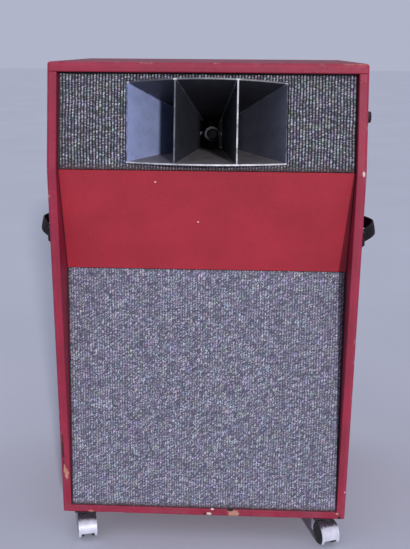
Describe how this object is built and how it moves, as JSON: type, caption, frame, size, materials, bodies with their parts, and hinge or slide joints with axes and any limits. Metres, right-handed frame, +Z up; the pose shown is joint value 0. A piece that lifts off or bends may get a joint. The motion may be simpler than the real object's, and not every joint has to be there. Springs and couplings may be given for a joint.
{
  "type": "portable loudspeaker cabinet",
  "caption": "Tall red vinyl-covered loudspeaker cabinet on swivel castors: leaning multi-cell horn above a sloping panel and a large bass driver behind woven cloth.",
  "frame": {"origin": "on the floor below the middle of the part, which is also the middle of the box's footprint", "axes": "+Z up, the front with the horn faces -Y, +X to the right of someone who looks at the front"},
  "size_m": [0.73, 0.5682, 1.07],
  "materials": {
    "red_vinyl": "grained red vinyl over 20 mm plywood",
    "crimson_vinyl": "grained crimson vinyl over plywood",
    "steel_fixings": "zinc-plated steel",
    "pine": "plain wood",
    "black_board": "black-painted plywood",
    "horn_cloth": "dark woven grille cloth with silver threads",
    "bass_cloth": "silver and black woven grille cloth",
    "horn_metal": "dark grey enamel on sheet steel",
    "throat_metal": "cast aluminium, dull",
    "driver_paint": "black enamel",
    "ferrite": "dark ferrite",
    "plain_steel": "plated steel",
    "cone_paper": "black felted paper",
    "cap_paper": "dark felted paper",
    "coil_wire": "enamelled copper wire",
    "spider_cloth": "varnished cloth",
    "capacitor_case": "wax-yellow film",
    "control_metal": "plated steel",
    "black_plastic": "black moulded plastic",
    "input_metal": "brushed sheet",
    "strap_leather": "dark leather",
    "cap_chrome": "nickel plate",
    "castor_steel": "zinc-plated steel",
    "castor_chrome": "chrome plate, a little dull",
    "wheel_plastic": "dark grey plastic"
  },
  "bodies": {
    "cabinet": {"left_side": "red_vinyl", "right_side": "red_vinyl", "top_panel": "red_vinyl", "bottom_panel": "red_vinyl", "back_panel": "red_vinyl", "sloping_panel": "crimson_vinyl", "back_screws": "steel_fixings", "woofer_bolts": "steel_fixings", "horn_bolts": "steel_fixings", "castor_stems": "steel_fixings", "battens": "pine", "crossover_board": "pine", "horn_baffle": "black_board", "bass_baffle": "black_board", "horn_cloth": "horn_cloth", "bass_cloth": "bass_cloth", "horn_upper_plate": "horn_metal", "horn_lower_plate": "horn_metal", "horn_left_wall": "horn_metal", "horn_right_wall": "horn_metal", "horn_left_vane": "horn_metal", "horn_right_vane": "horn_metal", "horn_throat_plate": "throat_metal", "horn_driver": "driver_paint", "horn_driver_cap": "driver_paint", "woofer_basket": "driver_paint", "woofer_magnet": "ferrite", "woofer_pole_piece": "plain_steel", "woofer_surround": "cone_paper", "crossover_coil": "coil_wire", "woofer_spider": "spider_cloth", "crossover_capacitors": "capacitor_case", "level_control": "control_metal", "input_jack": "black_plastic", "input_plate": "input_metal", "left_strap": "strap_leather", "right_strap": "strap_leather", "strap_caps": "cap_chrome", "castor_plates": "castor_steel"},
    "level_knob": {"level_knob": "black_plastic", "level_shaft": "control_metal"},
    "bass_cone": {"woofer_cone": "cone_paper", "woofer_dust_cap": "cap_paper", "woofer_voice_coil": "coil_wire"},
    "castor_fl": {"castor_fl_hood": "castor_chrome", "castor_fl_axle": "castor_steel"},
    "castor_fl_wheel_a": {"castor_fl_wheel_a": "wheel_plastic"},
    "castor_fl_wheel_b": {"castor_fl_wheel_b": "wheel_plastic"},
    "castor_fr": {"castor_fr_hood": "castor_chrome", "castor_fr_axle": "castor_steel"},
    "castor_fr_wheel_a": {"castor_fr_wheel_a": "wheel_plastic"},
    "castor_fr_wheel_b": {"castor_fr_wheel_b": "wheel_plastic"},
    "castor_rl": {"castor_rl_hood": "castor_chrome", "castor_rl_axle": "castor_steel"},
    "castor_rl_wheel_a": {"castor_rl_wheel_a": "wheel_plastic"},
    "castor_rl_wheel_b": {"castor_rl_wheel_b": "wheel_plastic"},
    "castor_rr": {"castor_rr_hood": "castor_chrome", "castor_rr_axle": "castor_steel"},
    "castor_rr_wheel_a": {"castor_rr_wheel_a": "wheel_plastic"},
    "castor_rr_wheel_b": {"castor_rr_wheel_b": "wheel_plastic"}
  },
  "joints": [
    {"name": "level_turn", "type": "hinge", "parent": "cabinet", "child": "level_knob", "pos_m": [0.325, -0.14, 0.96], "axis": [1, 0, 0], "range_deg": [-150, 150]},
    {"name": "cone_travel", "type": "slide", "parent": "cabinet", "child": "bass_cone", "axis": [0, -0.9938, 0.1112], "range_m": [-0.004, 0.004], "stiffness_N_per_m": 3000},
    {"name": "castor_fl_swivel", "type": "hinge", "parent": "cabinet", "child": "castor_fl", "pos_m": [-0.276, -0.229, 0.055], "axis": [0, 0, 1], "continuous": true},
    {"name": "castor_fl_roll_a", "type": "hinge", "parent": "castor_fl", "child": "castor_fl_wheel_a", "pos_m": [-0.27068, -0.25035, 0.025], "axis": [0.9703, 0.2419, 0], "continuous": true},
    {"name": "castor_fl_roll_b", "type": "hinge", "parent": "castor_fl", "child": "castor_fl_wheel_b", "pos_m": [-0.27068, -0.25035, 0.025], "axis": [0.9703, 0.2419, 0], "continuous": true},
    {"name": "castor_fr_swivel", "type": "hinge", "parent": "cabinet", "child": "castor_fr", "pos_m": [0.276, -0.229, 0.055], "axis": [0, 0, 1], "continuous": true},
    {"name": "castor_fr_roll_a", "type": "hinge", "parent": "castor_fr", "child": "castor_fr_wheel_a", "pos_m": [0.28352, -0.24967, 0.025], "axis": [0.9397, 0.342, 0], "continuous": true},
    {"name": "castor_fr_roll_b", "type": "hinge", "parent": "castor_fr", "child": "castor_fr_wheel_b", "pos_m": [0.28352, -0.24967, 0.025], "axis": [0.9397, 0.342, 0], "continuous": true},
    {"name": "castor_rl_swivel", "type": "hinge", "parent": "cabinet", "child": "castor_rl", "pos_m": [-0.276, 0.229, 0.055], "axis": [0, 0, 1], "continuous": true},
    {"name": "castor_rl_roll_a", "type": "hinge", "parent": "castor_rl", "child": "castor_rl_wheel_a", "pos_m": [-0.28352, 0.24967, 0.025], "axis": [-0.9397, -0.342, 0], "continuous": true},
    {"name": "castor_rl_roll_b", "type": "hinge", "parent": "castor_rl", "child": "castor_rl_wheel_b", "pos_m": [-0.28352, 0.24967, 0.025], "axis": [-0.9397, -0.342, 0], "continuous": true},
    {"name": "castor_rr_swivel", "type": "hinge", "parent": "cabinet", "child": "castor_rr", "pos_m": [0.276, 0.229, 0.055], "axis": [0, 0, 1], "continuous": true},
    {"name": "castor_rr_roll_a", "type": "hinge", "parent": "castor_rr", "child": "castor_rr_wheel_a", "pos_m": [0.27068, 0.25035, 0.025], "axis": [-0.9703, -0.2419, 0], "continuous": true},
    {"name": "castor_rr_roll_b", "type": "hinge", "parent": "castor_rr", "child": "castor_rr_wheel_b", "pos_m": [0.27068, 0.25035, 0.025], "axis": [-0.9703, -0.2419, 0], "continuous": true}
  ]
}
